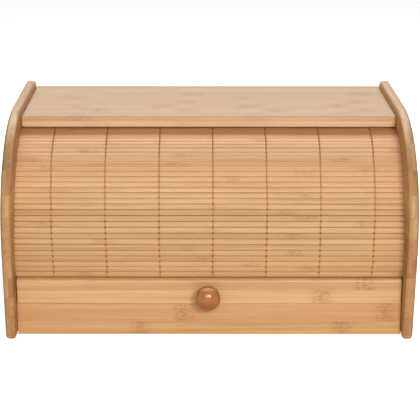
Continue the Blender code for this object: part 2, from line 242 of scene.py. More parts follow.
def make_bamboo_group():
    tree, given, result = new_group(
        "bamboo_wood",
        [
            ("Grain", "Vector", None),
            ("Strip width", "Float", 0.02),
            ("Strip shift", "Float", 0.0),
            ("Layer thickness", "Float", 0.0055),
            ("Layer shift", "Float", 0.0),
            ("Ring spacing", "Float", 0.24),
            ("Ring strength", "Float", 1.0),
            ("Ring width", "Float", 0.016),
            ("Ring variety", "Float", 0.0),
            ("Tone strength", "Float", 0.45),
            ("Light", "Color", swatch(232, 184, 124)),
            ("Dark", "Color", swatch(200, 145, 86)),
            ("Blush", "Color", swatch(222, 160, 108)),
            ("Seed", "Float", 0.0),
            ("End grain", "Float", 0.0),
        ],
        [("Color", "Color"), ("Roughness", "Float"), ("Height", "Float")],
    )
    along, across, through = separate(tree, given["Grain"])
    shifted = calc(tree, "ADD", through, given["Layer shift"])
    layer = calc(tree, "FLOOR", calc(tree, "DIVIDE", shifted, given["Layer thickness"]))
    layer_shift = add_node(
        tree, "ShaderNodeTexWhiteNoise", {"Vector": combine(tree, layer, given["Seed"], 0.0)}
    ).outputs["Value"]
    strips = calc(tree, "DIVIDE", calc(tree, "ADD", across, given["Strip shift"]), given["Strip width"])
    strips = calc(tree, "ADD", strips, calc(tree, "FLOOR", calc(tree, "MULTIPLY", layer_shift, 3.0)))
    strip = calc(tree, "FLOOR", strips)
    chance = add_node(
        tree, "ShaderNodeTexWhiteNoise", {"Vector": combine(tree, strip, layer, given["Seed"])}
    )
    tone, blush, ring_place = separate(tree, chance.outputs["Color"])
    own_place = calc_vector(tree, "ADD", given["Grain"], chance.outputs["Color"])

    fibres = noise(tree, own_place, FIBRES, 3.0, 0.6)
    streaks = noise(tree, own_place, STREAKS, 3.0, 0.6)
    bundles = fade(tree, noise(tree, own_place, BUNDLES, 1.0, 0.4), 0.60, 0.74)
    clouds = noise(tree, own_place, CLOUDS, 2.0, 0.5)

    wander = calc(tree, "SUBTRACT", noise(tree, own_place, RING_BENDS), 0.5)
    wander = calc(tree, "MULTIPLY", wander, RING_WANDER)
    turns = calc(tree, "ADD", calc(tree, "DIVIDE", along, given["Ring spacing"]), ring_place)
    from_ring = calc(tree, "SUBTRACT", calc(tree, "FRACT", turns), 0.5)
    from_ring = calc(tree, "MULTIPLY", from_ring, given["Ring spacing"])
    from_ring = calc(tree, "ABSOLUTE", calc(tree, "ADD", from_ring, wander))
    ring_line = fade(tree, from_ring, *RING_LINE, 1.0, 0.0)
    ring_area = fade(tree, from_ring, RING_CORE, given["Ring width"], 1.0, 0.0)
    strokes = fade(tree, noise(tree, own_place, RING_STROKES, 2.0, 0.6), 0.44, 0.62)
    ring = calc(tree, "MULTIPLY", ring_area, calc(tree, "ADD", calc(tree, "MULTIPLY", strokes, 0.8), 0.2))
    ring = calc(tree, "MAXIMUM", ring, calc(tree, "MULTIPLY", ring_line, 0.7))
    clear = calc(tree, "MULTIPLY", given["Ring strength"], fade(tree, blush, 0.1, 0.45, 0.3, 1.0))
    ring = calc(tree, "MULTIPLY", ring, clear)
    own_ring = combine(tree, calc(tree, "FLOOR", turns), strip, calc(tree, "ADD", layer, given["Seed"]))
    luck = add_node(tree, "ShaderNodeTexWhiteNoise", {"Vector": own_ring}).outputs["Value"]
    faint = calc(tree, "MULTIPLY", given["Ring variety"], fade(tree, luck, 0.25, 0.65, 0.85, 0.0))
    ring = calc(tree, "MULTIPLY", ring, calc(tree, "SUBTRACT", 1.0, faint))

    off_middle = calc(tree, "ABSOLUTE", calc(tree, "SUBTRACT", calc(tree, "FRACT", strips), 0.5))
    to_edge = calc(tree, "MULTIPLY", calc(tree, "SUBTRACT", 0.5, off_middle), given["Strip width"])
    glue = fade(tree, to_edge, 0.0, GLUE_LINE, 1.0, 0.0)

    own_tone = calc(tree, "MULTIPLY", calc(tree, "SUBTRACT", tone, 0.5), given["Tone strength"])
    depth = calc(tree, "ADD", own_tone, calc(tree, "MULTIPLY", streaks, STREAK_SHARE))
    depth = calc(tree, "ADD", depth, calc(tree, "MULTIPLY", fibres, FIBRE_SHARE))
    colour = blend_colour(tree, fade(tree, depth, *LIGHT_TO_DARK), given["Light"], given["Dark"])
    reddened = fade(tree, calc(tree, "ADD", blush, clouds), 0.9, 1.5)
    for amount, share, own_colour in (
        (reddened, BLUSH_SHARE, given["Blush"]),
        (bundles, BUNDLE_SHARE, BUNDLE_COLOUR),
        (ring, RING_SHARE, RING_COLOUR),
        (glue, GLUE_SHARE, GLUE_COLOUR),
    ):
        colour = blend_colour(tree, calc(tree, "MULTIPLY", amount, share), colour, own_colour)
    colour = blend_colour(tree, given["End grain"], colour, END_GRAIN_TINT, "MULTIPLY")

    feed(tree, colour, result["Color"])
    shine = calc(tree, "ADD", 0.36, calc(tree, "MULTIPLY", fibres, 0.16))
    feed(tree, calc(tree, "ADD", shine, calc(tree, "MULTIPLY", ring, 0.12)), result["Roughness"])
    relief = calc(tree, "MULTIPLY", fibres, 0.6)
    relief = calc(tree, "SUBTRACT", relief, calc(tree, "MULTIPLY", bundles, 0.35))
    relief = calc(tree, "SUBTRACT", relief, calc(tree, "MULTIPLY", glue, 0.8))
    feed(tree, calc(tree, "ADD", relief, calc(tree, "MULTIPLY", ring, 0.5)), result["Height"])
    return tree


bamboo_group = make_bamboo_group()
print("bamboo group has", len(bamboo_group.nodes), "nodes")

# %% [markdown]
# A board's material only has to say which way its grain runs. Bare places on rounded edges are a little
# darker, where hands and cleaning have worn the lacquer, so the surface's own direction picks them out. It
# also picks out the faces that get a tint of painted shade, which could be separate materials, but then a
# tint would end in a hard line. The seed and the shifts choose which strips and rings a board gets.

# %% Bamboo board material
WORN_COLOUR = swatch(150, 104, 64)
WORN_SHARE = 0.30
WORN_PATCHES = (45.0, 45.0, 45.0)
GRAIN_RELIEF = 0.00012


def new_material(name):
    made = bpy.data.materials.new(name)
    made.use_nodes = True
    return made, made.node_tree, made.node_tree.nodes["Principled BSDF"]


def add_relief(tree, shader, height, depth, strength):
    """A bump this many metres deep, where the height goes from 0 to 1."""
    bump = add_node(tree, "ShaderNodeBump", {"Height": height, "Distance": depth, "Strength": strength})
    feed(tree, bump.outputs["Normal"], shader.inputs["Normal"])


def edge_wear(tree, facing):
    """1 on edges that are rounded from this direction to another, 0 on the flats."""
    normal = object_normal(tree)
    squared = calc(tree, "MULTIPLY", normal[facing], normal[facing])
    between = calc(tree, "MULTIPLY", squared, calc(tree, "SUBTRACT", 1.0, squared))
    return calc(tree, "MULTIPLY", between, 4.0)


def bamboo_material(name, grain_of, along, wear_facing, coat=0.25, gloss=0.5, tints=(), **choices):
    """grain_of turns the piece's place into the grain's own directions, with the fibres along this axis."""
    made, tree, shader = new_material(name)
    grain = grain_of(tree, object_place(tree))
    wood = add_node(tree, "ShaderNodeGroup", node_tree=bamboo_group)
    feed(tree, grain, wood.inputs["Grain"])
    end_on = calc(tree, "ABSOLUTE", object_normal(tree)[along])
    feed(tree, fade(tree, end_on, 0.35, 0.95), wood.inputs["End grain"])
    for label, value in choices.items():
        wood.inputs[label.replace("_", " ")].default_value = value
    patchy = fade(tree, noise(tree, grain, WORN_PATCHES), 0.35, 0.65, 0.25, 1.0)
    worn = calc(tree, "MULTIPLY", edge_wear(tree, wear_facing), patchy)
    worn = calc(tree, "MULTIPLY", worn, WORN_SHARE)
    colour = wood.outputs["Color"]
    # The tints are painted shade
    for share_of, tint in tints:
        colour = blend_colour(tree, share_of(tree), colour, tint, "MULTIPLY")
    feed(tree, blend_colour(tree, worn, colour, WORN_COLOUR), shader.inputs["Base Color"])
    # Less lacquer leaves the wood rougher
    matt = calc(tree, "ADD", calc(tree, "MULTIPLY", worn, 0.3), 0.15 - coat * 0.6)
    feed(tree, calc(tree, "ADD", wood.outputs["Roughness"], matt), shader.inputs["Roughness"])
    add_relief(tree, shader, wood.outputs["Height"], GRAIN_RELIEF, 1.0)
    shader.inputs["Specular IOR Level"].default_value = gloss
    shader.inputs["Coat Weight"].default_value = coat
    shader.inputs["Coat Roughness"].default_value = 0.30
    return made


print("a board's material takes its grain, its tints and the bamboo group's own values")

# %% [markdown]
# A face's tint is picked out by where its surface faces, from 0 to 1, and here and there by its place. Each
# tint is painted shade: the top board is greyer where it faces up, and a little so are the panels' sloping
# shoulders. The panels' outer faces are darker and greener, and their inner faces are darker in front of the
# curtain. The lift rail's rounded top edge is darker.

# %% Where a face's tint lies
TRACK_REACH = axis.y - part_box("slat_05")[0].y
INNER_SHADE_EDGE = 0.004


def facing_up(tree):
    return object_normal(tree)["Z"]


def facing_out(tree):
    """The surface's direction along X, counted from the middle of the box outwards."""
    side = calc(tree, "SIGN", separate(tree, object_place(tree))["X"])
    return calc(tree, "MULTIPLY", side, object_normal(tree)["X"])


# Painted shade: this mask greys the top board where it faces up
def on_top(tree):
    """1 where a board faces up."""
    return fade(tree, facing_up(tree), 0.6, 0.98)


# Painted shade: this mask greys the panels' sloping shoulders
def on_shoulder(tree):
    """1 on the side panels' edges where they slope up to the top."""
    return fade(tree, facing_up(tree), 0.30, 0.80)


# Painted shade: this mask darkens the lift rail's rounded top edge
def on_rail_edge(tree):
    """1 on the lift rail's rounded top edge, between its leaning front and the ledge on top."""
    over_front = fade(tree, facing_up(tree), 0.36, 0.44)
    return calc(tree, "MULTIPLY", over_front, fade(tree, facing_up(tree), 0.62, 0.88, 1.0, 0.15))


# Painted shade: this mask darkens and greens the panels' outer faces
def on_outside(tree):
    """1 on the side panels' outer faces, which face away from the middle of the box."""
    return fade(tree, facing_out(tree), 0.35, 0.85)


# Painted shade: this mask darkens the panels' inner faces in front of the curtain
def on_inside(tree):
    """1 on the part of the side panels' inner faces that lies outside the curtain's track."""
    place = separate(tree, object_place(tree))
    ahead, above = calc(tree, "SUBTRACT", place["Y"], axis.y), calc(tree, "SUBTRACT", place["Z"], axis.z)
    reach = hypotenuse(tree, ahead, above)
    outside_track = fade(tree, reach, TRACK_REACH - INNER_SHADE_EDGE, TRACK_REACH)
    return calc(tree, "MULTIPLY", fade(tree, facing_out(tree), -0.80, -0.98), outside_track)


print("the curtain's outer side is", round(TRACK_REACH * 1000, 1), "mm from the axis")

# %% [markdown]
# Each board's grain runs the way its strips were glued up: along the box on the front, the back, the rail,
# the top and the floor, and from front to back on the side panels. The seeds and shifts of those that the
# photograph shows best were found by trying many, until tones and rings fell about where it has them.

# %% Bamboo materials
PANEL_LAYERS = 77


def grain_along_front(tree, place):
    """Fibres along X, strips stacked up Z, layers through Y: the front board, the rail and the back."""
    x, y, z = separate(tree, place)
    return combine(tree, x, z, y)


def grain_along_top(tree, place):
    """Fibres along X, strips side by side along Y, layers through Z: the top and the floor."""
    return place


def grain_along_depth(tree, place):
    """Fibres along Y, strips stacked up Z, layers through X: the side panels."""
    x, y, z = separate(tree, place)
    return combine(tree, y, z, x)


front_bamboo = bamboo_material(
    "front_bamboo",
    grain_along_front,
    along="X",
    wear_facing="Z",
    Strip_shift=0.0059,
    Ring_spacing=0.199,
    Seed=2078.0,
)
# The rail's tint is painted shade on its rounded top edge
rail_bamboo = bamboo_material(
    "rail_bamboo",
    grain_along_front,
    along="X",
    wear_facing="Z",
    tints=[(on_rail_edge, swatch(228, 221, 210))],
    Strip_shift=0.0128,
    Layer_thickness=0.05,
    Layer_shift=0.11,
    Ring_spacing=0.36,
    Light=swatch(233, 188, 128),
    Dark=swatch(202, 150, 93),
    Seed=3039.0,
)
# The top board's tint is painted shade where it faces up
top_bamboo = bamboo_material(
    "top_bamboo",
    grain_along_top,
    along="X",
    wear_facing="Z",
    tints=[(on_top, swatch(203, 193, 151))],
    Layer_shift=0.0018,
    Ring_spacing=0.091,
    Ring_width=0.022,
    Ring_variety=1.0,
    Light=swatch(236, 190, 142),
    Dark=swatch(208, 158, 108),
    Blush=swatch(226, 166, 120),
    Seed=9505.0,
)
panel_low, panel_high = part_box("side_panel_right")
panel_layer = (panel_low.x + panel_high.x) / PANEL_LAYERS
# The panels' three tints are painted shade on their outer faces, inner faces and shoulders
panel_bamboo = bamboo_material(
    "panel_bamboo",
    grain_along_depth,
    along="Y",
    wear_facing="X",
    coat=0.1,
    tints=[
        (on_outside, swatch(188, 190, 170)),
        (on_inside, swatch(210, 198, 158)),
        (on_shoulder, swatch(236, 245, 243)),
    ],
    Strip_width=0.0205,
    Strip_shift=0.0155,
    Layer_thickness=panel_layer,
    Layer_shift=panel_layer / 2,
    Tone_strength=0.60,
    Light=swatch(228, 181, 122),
    Dark=swatch(190, 136, 86),
    Blush=swatch(210, 152, 98),
    Seed=10654.0,
)
back_bamboo = bamboo_material(
    "back_bamboo",
    grain_along_front,
    along="X",
    wear_facing="Z",
    coat=0.0,
    Seed=11.0,
)
print("bamboo materials:", [material.name for material in bpy.data.materials if "bamboo" in material.name])

# %% [markdown]
# Each new piece is modelled in place, at the foremost point of the track where that helps. These helpers
# start and end a piece the same way every time: nothing else is selected, and the place goes into the mesh.

# %% Modelling helpers
def start():
    if bpy.context.mode != "OBJECT":
        bpy.ops.object.mode_set(mode="OBJECT")
    bpy.ops.object.select_all(action="DESELECT")


def take(piece):
    """Makes this the one piece that the next operator acts on."""
    start()
    bpy.context.view_layer.objects.active = piece
    piece.select_set(True)


def edit(piece):
    take(piece)
    bpy.ops.object.mode_set(mode="EDIT")
    return bmesh.from_edit_mesh(piece.data)


def apply_place(piece):
    take(piece)
    bpy.ops.object.transform_apply(location=True, rotation=True, scale=True)


def copy_piece(piece, name, move):
    """A copy with its own mesh, moved by a matrix that goes into the mesh."""
    made = bpy.data.objects.new(name, piece.data.copy())
    bpy.context.scene.collection.objects.link(made)
    made.data.name = name
    made.matrix_world = move
    apply_place(made)
    return made


def apply_modifiers(piece):
    take(piece)
    for modifier in list(piece.modifiers):
        bpy.ops.object.modifier_apply(modifier=modifier.name)


def join(pieces, name):
    start()
    for piece in pieces:
        piece.select_set(True)
    bpy.context.view_layer.objects.active = pieces[0]
    bpy.ops.object.join()
    pieces[0].name = name
    return pieces[0]


def dress(piece, material, body, smooth_deg=40):
    piece.data.materials.clear()
    piece.data.materials.append(material)
    take(piece)
    bpy.ops.object.shade_smooth_by_angle(angle=radians(smooth_deg))
    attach(piece, body)
    return piece


def about_axis(angle):
    """Turns a thing up and over round the curtain's axis."""
    return Matrix.Translation(axis) @ Matrix.Rotation(-angle, 4, "X") @ Matrix.Translation(-axis)


print("modelling helpers are ready")

# %% [markdown]
# The panels, the floor, the back and the lift rail have the right shape in the CAD, with its slots, holes
# and rounded edges. Each could be modelled again, but a copy is surer to fit. The CAD's facets are loose
# triangles, so the copy's are merged, and those in one plane become one face. Weighted normals then make
# the rounded edges look round and leave the flats flat.

# %% Boards copied from the CAD
SAME_PLACE = 0.00001
SAME_PLANE_DEG = 0.5


def copy_board(name, material, body):
    board = bpy.data.objects.new(f"bamboo_{name}", nodes[name].data.copy())
    bpy.context.scene.collection.objects.link(board)
    edit(board)
    bpy.ops.mesh.select_all(action="SELECT")
    bpy.ops.mesh.remove_doubles(threshold=SAME_PLACE)
    bpy.ops.mesh.select_all(action="SELECT")
    bpy.ops.mesh.dissolve_limited(angle_limit=radians(SAME_PLANE_DEG))
    dress(board, material, body, smooth_deg=35)
    flats = board.modifiers.new("flats", "WEIGHTED_NORMAL")
    flats.weight = 100
    flats.keep_sharp = True
    apply_modifiers(board)
    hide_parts(name)
    facets, faces = len(nodes[name].data.polygons), len(board.data.polygons)
    print(name, "has", facets, "facets and its copy", faces, "faces")


copy_board("side_panel_left", panel_bamboo, "case")
copy_board("side_panel_right", panel_bamboo, "case")
copy_board("floor_board", top_bamboo, "case")
copy_board("back_panel", back_bamboo, "case")
copy_board("lift_rail", rail_bamboo, "curtain")

# %% [markdown]
# The top board and the front board are plain planks, so each starts as a cube. Its four edges along the
# length are bevelled, and the top board's front edge, which hands touch, more than the others. The ends stop
# just short of the panels, as a fine joint line. The front board reaches up close to the lift rail, so the
# seam between them is as fine as in the photograph.

# %% Top board and front board
END_GAP = 0.0002
SEAM_CLOSED = 0.00027
BOARD_EDGE_ROUND = 0.0006
TOP_FRONT_ROUND = 0.0013
FRONT_BOARD_TOP_ROUND = 0.0002


def make_board(name, low, high, material, front_round):
    start()
    bpy.ops.mesh.primitive_cube_add(size=1, location=(low + high) / 2)
    board = bpy.context.object
    board.name = name
    board.scale = high - low
    apply_place(board)
    for near_y, near_z, width in (
        (low.y, high.z, front_round),
        (high.y, high.z, BOARD_EDGE_ROUND),
        (low.y, low.z, BOARD_EDGE_ROUND),
        (high.y, low.z, BOARD_EDGE_ROUND),
    ):
        shape = edit(board)
        bpy.ops.mesh.select_all(action="DESELECT")
        for edge in shape.edges:
            off_corner = [abs(end.co.y - near_y) + abs(end.co.z - near_z) for end in edge.verts]
            is_long = abs(edge.verts[0].co.x - edge.verts[1].co.x) > (high.x - low.x) / 2
            edge.select = is_long and max(off_corner) < SAME_PLACE
        bmesh.update_edit_mesh(board.data)
        bpy.ops.mesh.bevel(offset=width, segments=4)
    start()
    dress(board, material, "case", smooth_deg=35)
    return board


top_low, top_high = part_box("top_board")
short = Vector((END_GAP, 0, 0))
top_board = make_board("bamboo_top_board", top_low + short, top_high - short, top_bamboo, TOP_FRONT_ROUND)
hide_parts("top_board")
front_low, front_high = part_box("front_board")
front_high.z += SEAM_CLOSED
front_board = make_board(
    "bamboo_front_board", front_low + short, front_high - short, front_bamboo, FRONT_BOARD_TOP_ROUND
)
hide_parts("front_board")
top_size = [round(side * 1000, 1) for side in (top_high - top_low).xy]
print("top board in mm:", top_size, "front board's top:", round(front_high.z * 1000, 2))

# %% [markdown]
# A slat is split from a cane: flat behind, where it is glued to the cloth, and gently crowned in front. The
# crown is part of a circle, so the section starts as a filled circle that bisect trims to the slat's sides
# and back. Extrude draws it out to its length. The cut edges of a real slat wander a little, so the long
# edges are subdivided and a Displace moves them by about a tenth of a millimetre, differently on each slat.

# %% Measure the slats
CROWN_HEIGHT = 0.0006
GAP_CLOSED = 0.00027
slat_names = sorted(name for name in nodes if name.startswith("slat_"))


def middle_of(name):
    low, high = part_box(name)
    return (low + high) / 2


def track_angle(point):
    return atan2(point.z - axis.z, axis.y - point.y)


first_angle = track_angle(middle_of(slat_names[0]))
last_angle = track_angle(middle_of(slat_names[-1]))
slat_step = (last_angle - first_angle) / (len(slat_names) - 1)
foremost = min(slat_names, key=lambda name: abs(track_angle(middle_of(name))))
slat_low, slat_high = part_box(foremost)
slat_length = slat_high.x - slat_low.x
slat_width = slat_high.z - slat_low.z + GAP_CLOSED
slat_thickness = slat_high.y - slat_low.y
slat_outer = axis.y - slat_low.y
crown_radius = ((slat_width / 2) ** 2 + CROWN_HEIGHT**2) / (2 * CROWN_HEIGHT)
crown_sweep = asin(slat_width / 2 / crown_radius)
slat_size = [round(size * 1000, 2) for size in (slat_length, slat_width, slat_thickness)]
print("slats:", len(slat_names), "of", slat_size, "mm")
print("step in degrees:", round(degrees(slat_step), 3), "from", round(degrees(first_angle), 2))

# %% [markdown]
# The slat is made at the foremost point of the track, where it stands upright. Bisect and bevel act on what
# is selected, so each edge to be rounded is found by its place: it is long, and it lies at the slat's side
# where the crown ends. The long edges are then cut into short pieces, which the Displace can move.

# %% Model one slat
SLAT_CUTS = 56
CROWN_POINTS = 44
SLAT_EDGE_ROUND = 0.00038
crown_centre = Vector((0, axis.y - slat_outer + crown_radius, axis.z))
slat_back_y = axis.y - slat_outer + slat_thickness

start()
bpy.ops.mesh.primitive_circle_add(
    vertices=CROWN_POINTS,
    radius=crown_radius,
    fill_type="NGON",
    location=(-slat_length / 2, crown_centre.y, crown_centre.z),
    rotation=(0, pi / 2, 0),
)
slat = bpy.context.object
slat.name = "slat_pattern"
apply_place(slat)
edit(slat)
for plane_point, outward in (
    ((0, 0, axis.z + slat_width / 2), (0, 0, 1)),
    ((0, 0, axis.z - slat_width / 2), (0, 0, -1)),
    ((0, slat_back_y, 0), (0, 1, 0)),
):
    bpy.ops.mesh.select_all(action="SELECT")
    bpy.ops.mesh.bisect(plane_co=plane_point, plane_no=outward, clear_outer=True)
bpy.ops.mesh.select_all(action="SELECT")
bpy.ops.mesh.extrude_region_move(TRANSFORM_OT_translate={"value": (slat_length, 0, 0)})
shape = edit(slat)
bpy.ops.mesh.select_all(action="DESELECT")
corner_y = crown_centre.y - crown_radius * cos(crown_sweep)
for edge in shape.edges:
    ends = [vertex.co for vertex in edge.verts]
    is_long = abs(ends[0].x - ends[1].x) > slat_length / 2
    at_side = abs(abs(ends[0].z - axis.z) - slat_width / 2) < SAME_PLACE
    edge.select = is_long and at_side and abs(ends[0].y - corner_y) < SAME_PLACE
bmesh.update_edit_mesh(slat.data)
bpy.ops.mesh.bevel(offset=SLAT_EDGE_ROUND, segments=3)
shape = edit(slat)
bpy.ops.mesh.select_all(action="DESELECT")
for edge in shape.edges:
    edge.select = abs(edge.verts[0].co.x - edge.verts[1].co.x) > slat_length / 2
bmesh.update_edit_mesh(slat.data)
bpy.ops.mesh.subdivide(number_cuts=SLAT_CUTS)
bpy.ops.mesh.select_all(action="SELECT")
bpy.ops.mesh.normals_make_consistent(inside=False)
start()
print("slat pattern:", len(slat.data.vertices), "points,", len(slat.data.polygons), "faces")

# %% [markdown]
# On the slats the strips of the bamboo group are the slats themselves. The place is turned into track
# measures: along the slat, round the track and out from the axis. So every slat gets its own tone, and the
# grain turns with the curtain. The lower slats are a shade darker and the upper ones a touch darker, both
# painted shade, and those just under the top board's edge carry a painted shadow.

# %% Slat material
track_radius = slat_outer - slat_thickness / 2
first_edge = first_angle - slat_step / 2


def grain_on_track(tree, place):
    x, y, z = separate(tree, place)
    ahead = calc(tree, "SUBTRACT", axis.y, y)
    above = calc(tree, "SUBTRACT", z, axis.z)
    turned = calc(tree, "SUBTRACT", calc(tree, "ARCTAN2", above, ahead), first_edge)
    return combine(tree, x, calc(tree, "MULTIPLY", turned, track_radius), hypotenuse(tree, ahead, above))


def up_the_curtain(tree, none_at, all_at, low=0.0, high=1.0):
    """Goes from low to high between two heights over the axis, given as shares of the curtain's radius."""
    height = separate(tree, object_place(tree))["Z"]
    return fade(tree, height, axis.z + slat_outer * none_at, axis.z + slat_outer * all_at, low, high)


def by_height(none_at, all_at):
    """A tint's share, from 0 to 1 between two heights on the closed curtain."""
    return lambda tree: up_the_curtain(tree, none_at, all_at)


# Painted shade by height: darker low down and a touch darker high up, and a painted shadow under the top
# board's edge
slat_bamboo = bamboo_material(
    "slat_bamboo",
    grain_on_track,
    along="X",
    wear_facing="X",
    coat=0.0,
    gloss=0.3,
    tints=[
        (by_height(0.60, 0.35), swatch(236, 236, 229)),
        (by_height(0.74, 0.84), swatch(246, 245, 245)),
        (by_height(0.948, 0.972), swatch(230, 211, 190)),
    ],
    Strip_width=slat_step * track_radius,
    Layer_thickness=0.05,
    Ring_spacing=0.31,
    Ring_strength=0.55,
    Tone_strength=0.26,
    Light=swatch(248, 201, 153),
    Dark=swatch(212, 162, 112),
    Blush=swatch(238, 183, 135),
    Seed=2.0,
)
print("slat pitch in mm:", round(slat_step * track_radius * 1000, 3))

# %% [markdown]
# No two slats lie quite alike. Before a copy is turned to its place round the track, it is moved in or out
# and tilted a little, by random numbers with a fixed seed, so that each run gives the same curtain. Modelling
# each slat by itself would give no more. One cloud texture moves the edges of them all, but it is read at
# the slat's own place, so each wanders in its own way.

# %% Copy the slats round the track
WANDER = 0.00022
DEPTH_SPREAD = 0.00012
TILT_SPREAD_DEG = 0.8
chance = random.Random(35)
wander_texture = bpy.data.textures.new("slat_wander", "CLOUDS")
wander_texture.noise_scale = 0.035
wander_texture.noise_depth = 2
for i, name in enumerate(slat_names):
    in_or_out = Matrix.Translation((0, chance.uniform(-1, 1) * DEPTH_SPREAD, 0))
    about_slat = Matrix.Translation((0, slat_back_y, axis.z))
    tilt = Matrix.Rotation(radians(chance.uniform(-1, 1) * TILT_SPREAD_DEG), 4, "X")
    own_place = in_or_out @ about_slat @ tilt @ about_slat.inverted()
    piece = copy_piece(slat, f"bamboo_{name}", about_axis(first_angle + slat_step * i) @ own_place)
    wander = piece.modifiers.new("wander", "DISPLACE")
    wander.texture = wander_texture
    wander.texture_coords = "GLOBAL"
    wander.strength = WANDER
    apply_modifiers(piece)
    dress(piece, slat_bamboo, "curtain", smooth_deg=30)
    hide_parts(name)
bpy.data.objects.remove(slat)
print("slats placed:", len(slat_names))

# %% [markdown]
# Seven rows of brown thread tie the slats to the cloth. A stitch runs over the crown of each slat and goes
# down through the gap on either side, where it crosses the thread from behind in a small dark knot. One
# stitch is modelled: a disc spun over the crown for the thread, a flattened ball for the knot, and a disc
# spun round the track for the run behind the cloth. Copies go up the curtain, and the row is then copied.

# %% Model one stitch
THREAD_RADIUS = 0.00040
THREAD_FLATNESS = 1.6
THREAD_BEHIND_SLATS = 0.0011
KNOT_SIZE = (0.00125, 0.00072, 0.00105)
cloth_back_radius = slat_outer - slat_thickness - THREAD_BEHIND_SLATS


def spun_thread(centre, radius, start_angle, sweep, steps):
    """A thread that follows an arc about a line along X, from its start angle up."""
    start()
    bpy.ops.mesh.primitive_circle_add(
        vertices=8,
        radius=THREAD_RADIUS,
        fill_type="NGON",
        location=centre + Vector((0, -radius * cos(start_angle), radius * sin(start_angle))),
        rotation=(-start_angle, 0, 0),
    )
    made = bpy.context.object
    made.scale.x = THREAD_FLATNESS
    apply_place(made)
    edit(made)
    bpy.ops.mesh.select_all(action="SELECT")
    bpy.ops.mesh.spin(steps=steps, angle=sweep, center=centre, axis=(1, 0, 0))
    bpy.ops.mesh.select_all(action="SELECT")
    bpy.ops.mesh.normals_make_consistent(inside=False)
    start()
    return made


over = spun_thread(crown_centre, crown_radius, -crown_sweep, 2 * crown_sweep, 10)
behind = spun_thread(axis, cloth_back_radius, -slat_step / 2, slat_step, 2)
knot_radius = slat_outer - CROWN_HEIGHT
bpy.ops.mesh.primitive_uv_sphere_add(segments=8, ring_count=6, radius=1.0)
knot = bpy.context.object
knot.scale = KNOT_SIZE
knot.location = (0, axis.y - knot_radius, axis.z)
apply_place(knot)
knot.data.transform(about_axis(slat_step / 2))
stitch = join([over, behind, knot], "stitch_pattern")
print("one stitch has", len(stitch.data.polygons), "faces")

# %% [markdown]
# Dyed cotton thread is dull, and a fine twist runs along it. Towards the top board it darkens to dark brown,
# a painted shadow of the board. Lower down it is paler on the crowns, and palest on the belly, but the knots
# in the gaps stay darker there. So the colour goes by the height and by the place between one gap and the
# next. The run behind the cloth has the knots' colour. Pieces of thread in several colours would do too, but
# would show steps.

# %% Thread and cloth materials
# Painted shadow: the thread darkens to this colour towards the top board
THREAD_TOP_SHADOW = swatch(150, 98, 54)
THREAD_CROWNS_HIGH = swatch(208, 152, 98)
THREAD_CROWNS_LOW = swatch(214, 158, 105)
KNOTS_HIGH = swatch(198, 144, 92)
KNOTS_ON_BELLY = swatch(168, 114, 66)
TWIST_COLOUR = swatch(120, 76, 40)
TWIST_SHARE = 0.18
TWIST = (2500.0, 900.0, 900.0)
CANVAS_LOW = swatch(176, 156, 122)
CANVAS_HIGH = swatch(226, 214, 188)
CANVAS_THREADS = 1100.0
CANVAS_LUMPS = (260.0, 260.0, 260.0)


def make_thread_material():
    made, tree, shader = new_material("brown_thread")
    grain = grain_on_track(tree, object_place(tree))
    on_track = separate(tree, grain)
    turns = calc(tree, "FRACT", calc(tree, "DIVIDE", on_track["Y"], slat_step * track_radius))
    to_crown = calc(tree, "ABSOLUTE", calc(tree, "SUBTRACT", turns, 0.5))
    in_front = fade(tree, on_track["Z"], slat_outer - slat_thickness, slat_outer - 2 * CROWN_HEIGHT)
    on_crown = calc(tree, "MULTIPLY", fade(tree, to_crown, 0.24, 0.34, 1.0, 0.0), in_front)
    twist = noise(tree, grain, TWIST, 1.0)
    on_belly = up_the_curtain(tree, 0.30, 0.62, 1.0, 0.0)
    # Painted shadow of the top board on the thread
    shadow_toward_board = up_the_curtain(tree, 0.72, 0.96, 0.0, 0.75)
    crowns = blend_colour(tree, on_belly, THREAD_CROWNS_HIGH, THREAD_CROWNS_LOW)
    knots = blend_colour(tree, on_belly, KNOTS_HIGH, KNOTS_ON_BELLY)
    colour = blend_colour(tree, on_crown, knots, crowns)
    colour = blend_colour(tree, shadow_toward_board, colour, THREAD_TOP_SHADOW)
    colour = blend_colour(tree, calc(tree, "MULTIPLY", twist, TWIST_SHARE), colour, TWIST_COLOUR)
    feed(tree, colour, shader.inputs["Base Color"])
    add_relief(tree, shader, twist, 0.0001, 0.8)
    shader.inputs["Roughness"].default_value = 0.85
    shader.inputs["Specular IOR Level"].default_value = 0.2
    return made


def make_canvas_material():
    """Plain weave: two sets of threads, each over and under the other, and a little unevenness."""
    made, tree, shader = new_material("canvas")
    on_track = separate(tree, grain_on_track(tree, object_place(tree)))
    waves = []
    for place in (on_track["X"], on_track["Y"]):
        wave = calc(tree, "SINE", calc(tree, "MULTIPLY", place, CANVAS_THREADS * pi))
        waves.append(calc(tree, "ABSOLUTE", wave))
    weave = calc(tree, "ADD", *waves)
    uneven = noise(tree, combine(tree, on_track["X"], on_track["Y"], 0.0), CANVAS_LUMPS, 3.0)
    depth = fade(tree, calc(tree, "ADD", weave, uneven), 0.6, 2.4)
    feed(tree, blend_colour(tree, depth, CANVAS_LOW, CANVAS_HIGH), shader.inputs["Base Color"])
    add_relief(tree, shader, weave, 0.0002, 0.7)
    shader.inputs["Roughness"].default_value = 0.92
    return made


thread_material = make_thread_material()
canvas_material = make_canvas_material()
print("thread and cloth are ready")

# %% [markdown]
# A row is one stitch on every slat. The rows fan out a little towards the top, as in the photograph, and
# wander a little to either side. A row could be a curve along the curtain, but copied stitches keep a knot in
# each gap. One row is joined, and its copies are spread over the curtain.

